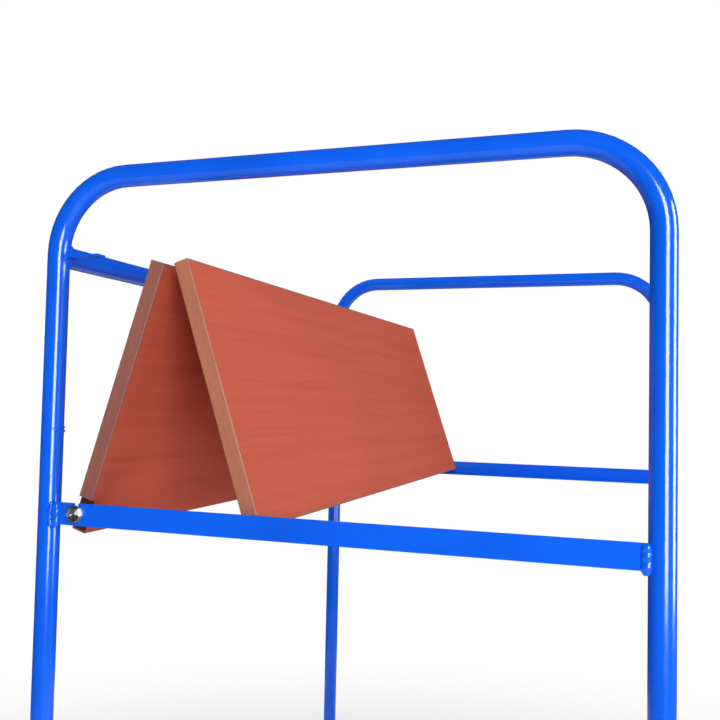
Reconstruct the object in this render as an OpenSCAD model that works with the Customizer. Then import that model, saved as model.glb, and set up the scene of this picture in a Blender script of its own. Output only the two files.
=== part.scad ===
// Shelf trolley with a folding top shelf
// X runs across the trolley: the shelf pivots and the back rail are at -X, the open front at +X.
// Y runs along the trolley, with the swivel castors at the -Y end. Z is up from the floor.
// The folding shelf is drawn half raised, as an inverted V.

/* [End frames] */
// Overall height of the trolley
overall_h = 1800; // [1650:1:1950]
// Distance between the two leg axes of one end frame
leg_span = 662; // [600:1:720]
// Distance between the planes of the two end frames
frame_span = 928; // [800:1:1050]
// Outer diameter of the frame tube
tube_d = 25; // [22:0.5:28]
// Wall of the frame tube
tube_wall = 1.5; // [1:0.1:2.5]
// Radius of the top bends, on the tube's axis
bend_r = 87.5; // [75:0.5:100]
// Drop from the top tube's axis to the back rail's axis
rail_drop = 88; // [84:0.5:110]

/* [Bearers] */
// Width of each leg of the bearer angle
angle_leg = 25; // [22:0.5:30]
// Thickness of the bearer angle
angle_t = 3; // [2.5:0.1:4]
// Fillet inside the bearer angle
angle_fillet = 3; // [1:0.5:3.5]
// Rounding of the bearer angle's two toes
toe_r = 1.2; // [0.5:0.1:2]
// Distance from the end frame's plane out to the bearer's outer face
bearer_set = 8.3; // [7:0.1:9.5]
// Drop from the top tube's axis to the underside of the folding shelf's bearers
fold_drop = 394.5; // [380:0.5:420]
// Height of the upper fixed shelf's bearers above the floor
upper_z = 832; // [780:1:880]
// Height of the lower fixed shelf's bearers above the floor
lower_z = 500; // [450:1:550]
// Gap left for the weld between a coped end and the tube
weld_gap = 0.1; // [0.05:0.05:0.3]

/* [Boards] */
// Thickness of every board
board_t = 18; // [15:0.5:19]
// Thickness of the edging strips
edging_t = 2; // [1.6:0.1:3]
// Rounding of the edging's outer arrises
edging_r = 1.2; // [0.6:0.1:1.5]
// Gap from a fixed board's long edge to the leg tubes
board_side_gap = 2.5; // [1:0.1:5]
// Gap from a fixed board's end to the fillet of its bearer
board_end_gap = 0.5; // [0.3:0.1:1.5]
// Screws along each end of a fixed board
screws_per_end = 3; // [2:1:4]
// Distance from the bearer's outer face to the line of screws
screw_line = 15; // [13:0.5:17]

/* [Folding shelf] */
// Distance from the pivot's axis to the front leaf's foot in the drawn pose
leaf_spread = 206.4; // [160:0.1:330]
// Turn of the rear leaf from the drawn pose up to the stop lugs
stop_travel = 12.8; // [11:0.1:16]
// Width of the rear leaf
rear_leaf_w = 319; // [290:1:335]
// Distance from the pivot's axis to the rear leaf's tail edge
pivot_edge = 22.5; // [20:0.5:26]
// Gap from the rear leaf's tail edge to the leg tubes, lying flat
tail_gap = 6.75; // [6.5:0.25:10]
// Gap from the front leaf's free edge to the leg tubes, lying flat
front_gap = 6; // [2:0.25:8]
// Gap between the two leaves, lying flat
ridge_gap = 1; // [0.8:0.1:2]
// Gap from a leaf's end to the end frame's plane
leaf_end_gap = 1; // [0.5:0.1:3]
// Gap between a flat leaf and the bearer below it
leaf_seat_gap = 1.3; // [1.2:0.1:1.5]
// Gap between the front leaf's foot and the bearer in the drawn pose
foot_gap = 1.8; // [1.7:0.05:2]
// Length of the recess in the rear leaf's ends, from the tail edge
recess_len = 40; // [36:1:50]
// Depth of the recess in the rear leaf's ends
recess_d = 6; // [5:0.5:9]

/* [Pivot] */
// Diameter of the pivot bolt's shank
pivot_d = 6; // [5:0.5:8]
// Radial clearance of the pivot bolt in its slot, spacer and insert
pivot_clear = 0.08; // [0.05:0.01:0.1]
// Diameter of the pivot bolt's turned head
pivot_head_d = 19; // [16:0.5:22]
// Thickness of the pivot bolt's turned head
pivot_head_t = 5; // [4:0.5:7]
// Side gap between the bearer and the pieces on each side of it
pivot_side_gap = 0.3; // [0.2:0.05:0.5]
// Outer diameter of the pivot spacer
spacer_d = 12; // [11:0.5:14]
// Outer diameter of the threaded insert in the rear leaf's end
insert_d = 10; // [9:0.5:11]
// Length of the threaded insert
insert_len = 22; // [18:1:30]
// Length of bearer without its lower leg, past the pivot's axis
cutaway = 12; // [10.5:0.5:20]

/* [Hinges] */
// Number of butt hinges along the ridge
hinge_count = 3; // [2:1:4]
// Distance from a leaf's end to the middle of the first hinge
hinge_inset = 110; // [70:5:160]
// Length of each hinge
hinge_len = 60; // [50:1:80]
// Width of each hinge plate, from the pin's axis
hinge_plate_w = 34; // [30:1:45]
// Thickness of the hinge plates
hinge_plate_t = 2.5; // [2.2:0.1:3]
// Distance from the leaves' undersides to the pin's axis
hinge_drop = 6; // [5.5:0.1:7]
// Gap between the knuckles and the boards
knuckle_gap = 0.4; // [0.3:0.05:0.6]
// Diameter of the hinge pin
pin_d = 5; // [4:0.5:6]
// Radial clearance of the hinge pin
pin_clear = 0.06; // [0.04:0.01:0.1]
// Gap between neighbouring knuckles
knuckle_side_gap = 0.25; // [0.2:0.05:0.4]

/* [Stop lugs] */
// Drop from the top tube's axis to the middle of the lugs
lug_drop = 89.5; // [88.5:0.5:100]
// Width of the lugs along the trolley
lug_w = 15; // [12:0.5:20]
// Thickness of the lugs
lug_t = 3; // [2.5:0.5:4]
// Offset of the lugs' middle from the end frame's plane, inwards
lug_offset = 1.5; // [0:0.25:4]

/* [Base] */
// Length of a castor corner plate along the trolley
corner_l = 134; // [130:1:150]
// Width of a castor corner plate across the trolley
corner_w = 114; // [112:1:130]
// Thickness of a castor corner plate
corner_t = 4; // [3:0.5:6]
// Height of the deck's bearers above the corner plates
deck_rise = 9; // [8.5:0.5:15]
// Gap between the leg's centre plane and the castor's centre across the trolley
castor_in_x = 55; // [54:1:62]
// Gap between the end frame's plane and the castor's centre
castor_in_y = 65; // [64:1:75]

/* [Castors] */
// Diameter of the wheels
wheel_d = 125; // [110:1:128]
// Width of the tyres
tyre_w = 32; // [28:1:34]
// Height of a castor from the floor to the top of its plate
castor_h = 155; // [153:1:170]
// Distance from the swivel's axis to the wheel's axle
trail = 38; // [36:1:42]
// Length of the castor's top plate
plate_l = 105; // [100:1:115]
// Width of the castor's top plate
plate_w = 85; // [80:1:95]
// Thickness of the pressed steel of plates and forks
press_t = 3; // [2.5:0.1:3.5]
// Spacing of the castor bolts along the trolley
bolt_l = 80; // [78:0.5:82]
// Spacing of the castor bolts across the trolley
bolt_w = 60; // [58:0.5:62]
// Diameter of the castor bolts
bolt_d = 8; // [7:0.5:8.5]
// Diameter of the axle bolts
axle_d = 10; // [8:0.5:12]
// Space between the fork's cheeks
fork_in = 40; // [38:0.5:44]
// Diameter of the swivel's king pin
king_d = 12; // [10:0.5:14]
// Radial clearance of the axles, the king pins and the brake pins
turn_clear = 0.06; // [0.04:0.01:0.1]
// Travel of the brake pedal down to the tyre, in degrees
brake_travel = 12; // [8:0.5:14]

/* [Hidden] */
$fn = 48;
eps = 0.01;
frame_blue = [0.07, 0.36, 0.92];
board_red = [0.71, 0.34, 0.25];
edging_tan = [0.66, 0.45, 0.34];
zinc = [0.78, 0.79, 0.80];
tyre_grey = [0.22, 0.22, 0.23];
hub_grey = [0.45, 0.46, 0.48];

// Main places
tube_r = tube_d / 2;
x_leg = leg_span / 2;
y_end = frame_span / 2;
z_top = overall_h - tube_r;
z_plate = castor_h + corner_t;
z_fold = z_top - fold_drop;
z_deck = z_plate + deck_rise;

// Bearers meet the tube where their outer face runs into it
bearer_half = x_leg - sqrt(tube_r * tube_r - bearer_set * bearer_set);

// Fixed boards
board_half_w = x_leg - tube_r - board_side_gap;
board_half_l = y_end + bearer_set - angle_t - angle_fillet - board_end_gap;
board_seat = 0.1;
screw_d = 4;
screw_hole_gap = 0.4;
screw_head_d = 8;
screw_head_t = 2.4;
screw_len = 13;
screw_point = 3.5;
screw_tip_r = 0.3;
screw_tip_gap = 0.3;
screw_head_edge = 1;
thread_gap = 0.1;
screw_side = 80;
screw_pitch = 2 * (board_half_w - screw_side) / (screws_per_end - 1);

// Folding shelf, in the drawn pose
leaf_half_l = y_end - leaf_end_gap;
pivot_x = -x_leg + tube_r + tail_gap + pivot_edge;
pivot_z = z_fold + angle_t + leaf_seat_gap + board_t / 2;
lift_len = rear_leaf_w - pivot_edge;
ridge_len = lift_len + ridge_gap / 2;
front_leaf_w = 2 * x_leg - tube_d - tail_gap - front_gap - rear_leaf_w - ridge_gap;
front_len = front_leaf_w + ridge_gap / 2;
axis_drop = board_t / 2 + hinge_drop;
foot_z = z_fold + angle_t + foot_gap;

// The pivot, the hinge pins and the foot stand in a triangle with these sides
rear_side = norm([ridge_len, axis_drop]);
front_side = norm([front_len, hinge_drop]);
foot_side = norm([leaf_spread, foot_z - pivot_z]);
lift_angle = atan(axis_drop / ridge_len) + atan((foot_z - pivot_z) / leaf_spread)
    + acos((rear_side * rear_side + foot_side * foot_side - front_side * front_side)
        / (2 * rear_side * foot_side));
hinge_x = pivot_x + ridge_len * cos(lift_angle) + axis_drop * sin(lift_angle);
hinge_z = pivot_z + ridge_len * sin(lift_angle) - axis_drop * cos(lift_angle);
fall_angle = atan(hinge_drop / front_len) + asin((hinge_z - foot_z) / front_side);

// Pivot, measured inwards from the end frame's plane
recess_y = leaf_end_gap + recess_d;
bearer_inner = angle_t - bearer_set;
spacer_len = recess_y - bearer_inner - pivot_side_gap;
shank_end = recess_y + insert_len - 2;
head_face = -bearer_set - pivot_side_gap;

// Hinges
knuckle_r = hinge_drop - knuckle_gap;
knuckles = 5;
knuckle_pitch = hinge_len / knuckles;
hinge_step = hinge_count > 1 ? 2 * (leaf_half_l - hinge_inset) / (hinge_count - 1) : 0;
hinge_screw_d = 3.5;
hinge_screw_head_d = 7;
hinge_screw_len = 13;
hinge_screw_gap = 0.1;
hinge_screw_point = 3;

// Stop lugs reach as far as the rear leaf's outer face at the stop angle
stop_angle = lift_angle + stop_travel;
lug_low_z = z_top - lug_drop - lug_t / 2;
stop_s = (lug_low_z - pivot_z - board_t / 2 * cos(stop_angle)) / sin(stop_angle);
lug_tip_x = pivot_x + stop_s * cos(stop_angle) - board_t / 2 * sin(stop_angle);

// Castors
wheel_r = wheel_d / 2;
castor_x = x_leg - castor_in_x;
castor_y = y_end - castor_in_y;
plate_low = castor_h - press_t;
plate_corner_r = 8;
race_h = 6;
race_gap = 0.6;
race_dome = 3;
race_lap = 2;
race_draft = 2.5;
race_r = 27;
ball_ring_r = 19;
ball_d = 5;
ball_gap = 0.3;
race_low = plate_low - race_h;
fork_top = race_low - race_gap - race_dome;
fork_out = fork_in + 2 * press_t;
fork_bend = 6;
king_head_d = 20;
king_head_t = 7;
king_head_gap = 0.4;
eye_r = 15;
tread_r = 7.5;
rim_r = wheel_r - 15.5;
rim_gap = 0.3;
rim_t = 6;
rim_w = tyre_w - 2;
boss_w = fork_in - 1;
boss_r = axle_d / 2 + 9;
web_t = 5;
rib_count = 8;
rib_t = 3;
rib_w = 18;
axle_af = 1.7 * axle_d;
axle_head_t = 6.4;
bolt_af = 13;
bolt_head_t = 5.3;
nut_t = 6.5;
bolt_hole_gap = 0.5;
brake_y = trail + 20;
brake_z = fork_top - 9.4;
brake_pin_d = 8;
fork_reach = brake_y + 9;
fork_back_drop = 13;
fork_front_drop = 20;
bracket_half = 30;
pedal_in_w = fork_in - 8;
pedal_side_gap = 0.4;
pedal_out_w = fork_out + 6;
pedal_hub_r = 6.5;
shoe_gap = 0.5;
tread_in = 24;
tread_out = 52;
arm_low = 3;
arm_high = 9;
tread_high = 14;

// Helpers

// Half circle ends are drawn by two circles, and the body by two squares
module rounded_top(w, h, r) {
    translate([-w / 2, 0]) square([w, h - r]);
    translate([r - w / 2, 0]) square([w - 2 * r, h]);
    for (s = [-1, 1]) translate([s * (w / 2 - r), h - r]) circle(r);
}

module rounded_plate(l, w, t, r) {
    linear_extrude(t) union() {
        square([l - 2 * r, w], center = true);
        square([l, w - 2 * r], center = true);
        for (i = [-1, 1], j = [-1, 1]) translate([i * (l / 2 - r), j * (w / 2 - r)]) circle(r);
    }
}

// Point where a line from p touches a circle about c
function touch_point(c, r, p, side) =
    let (d = p - c, a = atan2(d.y, d.x), k = acos(r / norm(d)))
    c + r * [cos(a + side * k), sin(a + side * k)];

// Turns a profile drawn in Y and Z into a solid w wide, centred on X
module across(w) {
    translate([-w / 2, 0, 0]) rotate([90, 0, 90]) linear_extrude(w) children();
}

// Turns a cylinder or a revolved form so that its axis runs along X or Y
module along_x() { rotate([0, 90, 0]) children(); }
module along_y() { rotate([-90, 0, 0]) children(); }

// Places a child at both ends, facing outwards; the near end is at side -1
module at_end(side) {
    if (side < 0) translate([0, -y_end, 0]) children();
    else mirror([0, 1, 0]) translate([0, -y_end, 0]) children();
}

// End frames

module frame_tube(d, foot_z) {
    leg_top = z_top - bend_r;
    for (s = [0, 1]) mirror([s, 0, 0]) {
        translate([x_leg, 0, foot_z]) cylinder(d = d, h = leg_top - foot_z);
        translate([x_leg - bend_r, 0, leg_top]) rotate([90, 0, 0])
            rotate_extrude(angle = 90) translate([bend_r, 0]) circle(d = d);
    }
    translate([bend_r - x_leg, 0, z_top]) along_x() cylinder(d = d, h = 2 * (x_leg - bend_r));
}

module end_frame(side) {
    color(frame_blue) at_end(side) difference() {
        frame_tube(tube_d, z_plate);
        frame_tube(tube_d - 2 * tube_wall, z_plate - 1);
    }
}
module end_frame_near() { end_frame(-1); }
module end_frame_far() { end_frame(1); }

// A tube between the two end frames, coped to the legs
module long_tube(x, z) {
    difference() {
        translate([x, -y_end, z]) along_y() cylinder(d = tube_d, h = 2 * y_end);
        translate([x, -y_end - 1, z]) along_y()
            cylinder(d = tube_d - 2 * tube_wall, h = 2 * y_end + 2);
        for (side = [-1, 1]) at_end(side) children();
    }
}

module leg_cutter(x) {
    translate([x, 0, z_plate - 1]) cylinder(r = tube_r + weld_gap, h = z_top - bend_r - z_plate + 1);
}

// Cuts a piece at an end frame back to a rail's surface
module rail_cutter(x, z) {
    translate([x, -tube_r, z]) along_y() cylinder(r = tube_r + weld_gap, h = angle_leg + 2 * tube_r);
}

module back_rail() {
    color(frame_blue) long_tube(-x_leg, z_top - rail_drop) {
        leg_cutter(-x_leg);
        translate([bend_r - x_leg, 0, z_top - bend_r]) rotate([90, 0, 0]) mirror([1, 0, 0])
            rotate_extrude(angle = 90) translate([bend_r, 0]) circle(r = tube_r + weld_gap);
    }
}

module base_rails() {
    color(frame_blue) for (s = [-1, 1])
        long_tube(s * x_leg, z_plate + tube_r) leg_cutter(s * x_leg);
}

// Flat lugs on the back legs that stop the raised rear leaf
module stop_lugs() {
    tip = lug_tip_x + x_leg;
    color(frame_blue) for (side = [-1, 1]) at_end(side) difference() {
        translate([-x_leg, lug_offset - lug_w / 2, lug_low_z]) cube([tip, lug_w, lug_t]);
        leg_cutter(-x_leg);
        rail_cutter(-x_leg, z_top - rail_drop);
    }
}

// Bearers

// Section of the angle: y runs inwards from the outer face, z up from the underside
module angle_section() {
    for (flip = [0, 1]) mirror([flip, -flip]) {
        square([angle_leg - toe_r, angle_t]);
        square([angle_leg, angle_t - toe_r]);
        translate([angle_leg - toe_r, angle_t - toe_r]) circle(toe_r);
    }
    difference() {
        translate([angle_t, angle_t]) square(angle_fillet);
        translate([angle_t + angle_fillet, angle_t + angle_fillet]) circle(angle_fillet);
    }
}

module bearer(z) {
    difference() {
        translate([0, -bearer_set, z]) across(2 * bearer_half) angle_section();
        for (s = [-1, 1]) leg_cutter(s * x_leg);
    }
}

module screw_places() {
    for (i = [0 : screws_per_end - 1])
        translate([(i - (screws_per_end - 1) / 2) * screw_pitch, screw_line - bearer_set, 0])
            children();
}

module fixed_bearers(z) {
    color(frame_blue) for (side = [-1, 1]) at_end(side) difference() {
        bearer(z);
        children();
        screw_places() translate([0, 0, z - 1]) cylinder(d = screw_d + screw_hole_gap, h = angle_t + 2);
    }
}
module upper_bearers() { fixed_bearers(upper_z); }
module lower_bearers() { fixed_bearers(lower_z); }
module deck_bearers() {
    fixed_bearers(z_deck) for (s = [-1, 1]) rail_cutter(s * x_leg, z_plate + tube_r);
}

// The folding shelf's bearer has an open slot for the pivot bolt,
// and its lower leg is cut away where the rear leaf's tail swings through
module folding_bearer(side) {
    slot_r = pivot_d / 2 + pivot_clear;
    color(frame_blue) at_end(side) difference() {
        bearer(z_fold);
        translate([pivot_x, -bearer_set - 1, pivot_z]) {
            along_y() cylinder(r = slot_r, h = angle_t + 2);
            translate([-slot_r, 0, 0]) cube([2 * slot_r, angle_t + 2, angle_leg]);
        }
        translate([-x_leg, bearer_inner, z_fold - 1])
            cube([pivot_x + x_leg + cutaway, angle_leg, angle_leg + 2]);
    }
}
module folding_bearer_near() { folding_bearer(-1); }
module folding_bearer_far() { folding_bearer(1); }

// Base

// Castor places, with a child mirrored so that it faces outwards
module at_castor(sx, sy) { translate([sx * castor_x, sy * castor_y, 0]) children(); }
module bolt_places() {
    for (i = [-1, 1], j = [-1, 1]) translate([i * bolt_w / 2, j * bolt_l / 2, 0]) children();
}

module corner_plates() {
    color(frame_blue) for (sx = [-1, 1], sy = [-1, 1]) difference() {
        translate([sx * (x_leg + tube_r - corner_w / 2), sy * (y_end + tube_r - corner_l / 2), castor_h])
            rounded_plate(corner_w, corner_l, corner_t, tube_r);
        at_castor(sx, sy) bolt_places()
            translate([0, 0, castor_h - 1]) cylinder(d = bolt_d + bolt_hole_gap, h = corner_t + 2);
    }
}

// Boards

// Section of an edging strip: x runs inwards from the outer face, y is the board's thickness
module edging_section() {
    translate([edging_r, 0]) square([edging_t - edging_r, board_t]);
    translate([0, edging_r]) square([edging_t, board_t - 2 * edging_r]);
    intersection() {
        square([edging_t, board_t]);
        for (y = [edging_r, board_t - edging_r]) translate([edging_r, y]) circle(edging_r);
    }
}

// A strip whose outer face looks to -X, centred along Y
module edging_strip(len) {
    translate([0, len / 2, 0]) rotate([90, 0, 0]) linear_extrude(len) edging_section();
}

module fixed_board(z) {
    low = z + angle_t + board_seat;
    color(board_red) difference() {
        translate([edging_t - board_half_w, edging_t - board_half_l, low])
            cube([2 * (board_half_w - edging_t), 2 * (board_half_l - edging_t), board_t]);
        for (side = [-1, 1]) at_end(side) screw_places()
            translate([0, 0, low - 1]) cylinder(d = screw_d + thread_gap, h = screw_len - angle_t + 1 + screw_tip_gap);
    }
}

module fixed_edging(z) {
    low = z + angle_t + board_seat;
    color(edging_tan) for (a = [0, 180]) rotate([0, 0, a]) {
        translate([-board_half_w, 0, low]) edging_strip(2 * board_half_l);
        translate([0, -board_half_l, low]) rotate([0, 0, 90])
            edging_strip(2 * (board_half_w - edging_t));
    }
}
module upper_shelf_board() { fixed_board(upper_z); }
module upper_shelf_edging() { fixed_edging(upper_z); }
module lower_shelf_board() { fixed_board(lower_z); }
module lower_shelf_edging() { fixed_edging(lower_z); }
module deck_board() { fixed_board(z_deck); }
module deck_edging() { fixed_edging(z_deck); }

// Pan head screws from below, through the bearers into the fixed boards
module shelf_screws() {
    color(zinc) for (z = [z_deck, lower_z, upper_z], side = [-1, 1])
        at_end(side) screw_places() translate([0, 0, z]) rotate_extrude() polygon([
            [0, -screw_head_t], [screw_head_d / 2 - screw_head_edge, -screw_head_t],
            [screw_head_d / 2, -screw_head_edge], [screw_head_d / 2, 0], [screw_d / 2, 0],
            [screw_d / 2, screw_len - screw_point], [screw_tip_r, screw_len], [0, screw_len]]);
}

// Folding shelf

// Rear leaf in its own frame: the pivot's axis is the origin, the leaf runs to +X, its top is up
module on_rear_leaf() {
    translate([pivot_x, 0, pivot_z]) rotate([0, -lift_angle, 0]) children();
}

// Front leaf in its own frame: the hinge pin's axis is the origin, the leaf runs to +X
module on_front_leaf() {
    translate([hinge_x, 0, hinge_z]) rotate([0, fall_angle, 0]) children();
}

module hinge_places() {
    for (i = [0 : hinge_count - 1]) translate([0, (i - (hinge_count - 1) / 2) * hinge_step, 0])
        children();
}

// Screws of one plate, placed at shares of its width from the pin's axis and of its length
module hinge_screw_places() {
    for (p = [[0.4, -0.36], [0.4, 0.36], [0.76, 0]])
        translate([p.x * hinge_plate_w, p.y * hinge_len, 0]) children();
}

module rear_leaf_board() {
    low = -board_t / 2;
    color(board_red) on_rear_leaf() difference() {
        translate([edging_t - pivot_edge, edging_t - leaf_half_l, low])
            cube([rear_leaf_w - 2 * edging_t, 2 * (leaf_half_l - edging_t), board_t]);
        for (side = [-1, 1]) at_end(side) {
            translate([-pivot_edge - 1, -1, low - 1]) cube([recess_len + 1, recess_y + 1, board_t + 2]);
            along_y() cylinder(d = insert_d + thread_gap, h = recess_y + insert_len);
        }
        translate([ridge_len, 0, low - 1]) hinge_places() mirror([1, 0, 0]) hinge_screw_places()
            cylinder(d = hinge_screw_d + thread_gap, h = hinge_screw_len - hinge_plate_t + 1 + screw_tip_gap);
    }
}

module rear_leaf_edging() {
    low = -board_t / 2;
    end_len = lift_len - edging_t - (recess_len - pivot_edge);
    color(edging_tan) on_rear_leaf() {
        translate([lift_len, 0, low]) mirror([1, 0, 0]) edging_strip(2 * leaf_half_l);
        translate([-pivot_edge, 0, low]) edging_strip(2 * (leaf_half_l - recess_d));
        for (side = [-1, 1]) at_end(side)
            translate([lift_len - edging_t - end_len / 2, leaf_end_gap, low])
                rotate([0, 0, 90]) edging_strip(end_len);
    }
}

// Turned bolt with a round dished head outside the bearer
module pivot_bolt(side) {
    r = pivot_head_d / 2;
    dish = 1.1;
    rim = 1.6;
    color(zinc) at_end(side) translate([pivot_x, head_face - pivot_head_t, pivot_z]) along_y()
        rotate_extrude() polygon([[0, dish], [r * 0.55, dish / 2], [r - rim, 0], [r - rim / 2, 0.1],
            [r, 0.9], [r, pivot_head_t - 0.5], [r - 0.5, pivot_head_t], [pivot_d / 2, pivot_head_t],
            [pivot_d / 2, shank_end - head_face + pivot_head_t], [0, shank_end - head_face + pivot_head_t]]);
}
module pivot_bolt_near() { pivot_bolt(-1); }
module pivot_bolt_far() { pivot_bolt(1); }

module sleeve(outer_d, inner_r, len) {
    along_y() difference() {
        cylinder(d = outer_d, h = len);
        translate([0, 0, -1]) cylinder(r = inner_r, h = len + 2);
    }
}

module pivot_spacers() {
    color(zinc) for (side = [-1, 1]) at_end(side)
        translate([pivot_x, bearer_inner + pivot_side_gap, pivot_z])
            sleeve(spacer_d, pivot_d / 2 + pivot_clear, spacer_len);
}

module pivot_inserts() {
    color(zinc) for (side = [-1, 1]) at_end(side)
        translate([pivot_x, recess_y, pivot_z]) sleeve(insert_d, pivot_d / 2 + pivot_clear, insert_len);
}

// One half of a butt hinge: the pin's axis is the origin and the plate runs to +X under the leaf.
// The rear half holds the outer and middle knuckles, the front half the two between them.
module hinge_half(own) {
    plate_low = hinge_drop - hinge_plate_t;
    bore_r = pin_d / 2 + pin_clear;
    difference() {
        union() {
            difference() {
                translate([ridge_gap / 2, -hinge_len / 2, plate_low])
                    cube([hinge_plate_w - ridge_gap / 2, hinge_len, hinge_plate_t]);
                for (k = [0 : knuckles - 1]) if (k % 2 != own)
                    translate([0, k * knuckle_pitch - hinge_len / 2 - knuckle_side_gap / 2, 0]) along_y()
                        cylinder(r = knuckle_r + knuckle_gap, h = knuckle_pitch + knuckle_side_gap);
            }
            for (k = [0 : knuckles - 1]) if (k % 2 == own)
                translate([0, k * knuckle_pitch - hinge_len / 2 + knuckle_side_gap / 2, 0]) along_y()
                    cylinder(r = knuckle_r, h = knuckle_pitch - knuckle_side_gap);
        }
        translate([0, -hinge_len / 2 - 1, 0]) along_y() cylinder(r = bore_r, h = hinge_len + 2);
        hinge_screw_places() translate([0, 0, plate_low - eps]) {
            cylinder(d = hinge_screw_d + 2 * hinge_screw_gap, h = hinge_plate_t + 1);
            cylinder(r1 = hinge_screw_head_d / 2 + hinge_screw_gap,
                r2 = hinge_screw_d / 2 + hinge_screw_gap, h = (hinge_screw_head_d - hinge_screw_d) / 2);
        }
    }
}

module hinge_screw() {
    head = hinge_screw_head_d / 2;
    shank = hinge_screw_d / 2;
    rotate_extrude() polygon([[0, 0], [head, 0], [shank, head - shank],
        [shank, hinge_screw_len - hinge_screw_point], [screw_tip_r, hinge_screw_len], [0, hinge_screw_len]]);
}

module on_ridge_axis() { translate([ridge_len, 0, -axis_drop]) children(); }

module rear_hinge_plates() {
    color(zinc) on_rear_leaf() on_ridge_axis() hinge_places() mirror([1, 0, 0]) hinge_half(0);
}

module front_hinge_plates() {
    color(zinc) on_front_leaf() hinge_places() hinge_half(1);
}

module hinge_pins() {
    r = pin_d / 2;
    half = hinge_len / 2 + 0.3;
    color(zinc) on_rear_leaf() on_ridge_axis() hinge_places() along_y() rotate_extrude() polygon([
        [0, -half - 1.4], [r * 0.8, -half - 1.2], [r + 0.8, -half - 0.5], [r + 0.8, -half], [r, -half],
        [r, half], [r + 0.8, half], [r + 0.8, half + 0.5], [r * 0.8, half + 1.2], [0, half + 1.4]]);
}

module rear_hinge_screws() {
    color(zinc) on_rear_leaf() on_ridge_axis() hinge_places() mirror([1, 0, 0]) hinge_screw_places()
        translate([0, 0, hinge_drop - hinge_plate_t]) hinge_screw();
}

module front_hinge_screws() {
    color(zinc) on_front_leaf() hinge_places() hinge_screw_places()
        translate([0, 0, hinge_drop - hinge_plate_t]) hinge_screw();
}

module front_leaf_board() {
    color(board_red) on_front_leaf() difference() {
        translate([ridge_gap / 2 + edging_t, edging_t - leaf_half_l, hinge_drop])
            cube([front_leaf_w - 2 * edging_t, 2 * (leaf_half_l - edging_t), board_t]);
        translate([0, 0, hinge_drop - 1]) hinge_places() hinge_screw_places()
            cylinder(d = hinge_screw_d + thread_gap, h = hinge_screw_len - hinge_plate_t + 1 + screw_tip_gap);
    }
}

module front_leaf_edging() {
    color(edging_tan) on_front_leaf() {
        translate([ridge_gap / 2, 0, hinge_drop]) edging_strip(2 * leaf_half_l);
        translate([front_len, 0, hinge_drop]) mirror([1, 0, 0]) edging_strip(2 * leaf_half_l);
        for (side = [-1, 1]) at_end(side)
            translate([(ridge_gap / 2 + front_len) / 2, leaf_end_gap, hinge_drop])
                rotate([0, 0, 90]) edging_strip(front_leaf_w - 2 * edging_t);
    }
}

// Castors

module hex_head(af, t) { cylinder(d = af / cos(30), h = t, $fn = 6); }

module castor_bolts() {
    color(zinc) for (sx = [-1, 1], sy = [-1, 1]) at_castor(sx, sy) bolt_places() {
        translate([0, 0, z_plate]) hex_head(bolt_af, bolt_head_t);
        translate([0, 0, plate_low - nut_t - 1])
            cylinder(d = bolt_d, h = z_plate - plate_low + nut_t + 1 + eps);
    }
}

module castor_nuts() {
    color(zinc) for (sx = [-1, 1], sy = [-1, 1]) at_castor(sx, sy) bolt_places()
        translate([0, 0, plate_low - nut_t]) difference() {
            hex_head(bolt_af, nut_t);
            translate([0, 0, -1]) cylinder(d = bolt_d + thread_gap, h = nut_t + 2);
        }
}

module castor_plate() {
    difference() {
        translate([0, 0, plate_low]) rounded_plate(plate_w, plate_l, press_t, plate_corner_r);
        bolt_places() translate([0, 0, plate_low - 1]) cylinder(d = bolt_d + bolt_hole_gap, h = press_t + 2);
    }
}

// Top plate of a swivel castor, with the pressed upper ball race below it
module swivel_plate(sx) {
    color(zinc) at_castor(sx, -1) difference() {
        union() {
            castor_plate();
            translate([0, 0, race_low]) cylinder(r1 = race_r - race_draft, r2 = race_r, h = race_h + eps);
        }
        translate([0, 0, race_low - 1]) cylinder(r = king_d / 2 + turn_clear, h = castor_h);
        translate([0, 0, race_low - race_gap / 2]) rotate_extrude()
            translate([ball_ring_r, 0]) circle(d = ball_d + 2 * ball_gap);
    }
}
module swivel_plate_back() { swivel_plate(-1); }
module swivel_plate_front() { swivel_plate(1); }

module swivel_balls() {
    balls = 16;
    color(zinc) for (sx = [-1, 1]) at_castor(sx, -1) for (i = [0 : balls - 1])
        rotate([0, 0, i * 360 / balls]) translate([ball_ring_r, 0, race_low - race_gap / 2])
            sphere(d = ball_d, $fn = 24);
}

module king_pin(sx) {
    r = king_d / 2;
    fork_low = fork_top - press_t;
    head_top = fork_low - king_head_gap;
    color(zinc) at_castor(sx, -1) rotate_extrude() polygon([
        [0, castor_h - 0.1], [r, castor_h - 0.1], [r, head_top], [king_head_d / 2, head_top],
        [king_head_d / 2, head_top - king_head_t + 2], [king_head_d / 2 - 2, head_top - king_head_t],
        [0, head_top - king_head_t]]);
}
module king_pin_back() { king_pin(-1); }
module king_pin_front() { king_pin(1); }

// A fork pressed from sheet: a channel with bent shoulders, trimmed to a side outline
module fork_channel(top, len) {
    translate([0, len / 2, 0]) rotate([90, 0, 0]) linear_extrude(len) difference() {
        rounded_top(fork_out, top, fork_bend);
        translate([0, -1]) rounded_top(fork_in, top - press_t + 1, fork_bend - press_t);
    }
}

// Side outline from a top edge down to the eye about the axle, in Y and Z.
// The sloping edges run just inside the eye's circle, so that they cut it cleanly.
module fork_outline(top, y0, y1, drop0, drop1, eye_y) {
    eye = [eye_y, wheel_r];
    low0 = [y0, top - drop0];
    low1 = [y1, top - drop1];
    touch_r = eye_r - 0.2;
    polygon([[y0, top], low0, touch_point(eye, touch_r, low0, 1), touch_point(eye, touch_r, low1, -1),
        low1, [y1, top]]);
    translate(eye) circle(eye_r);
}

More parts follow.
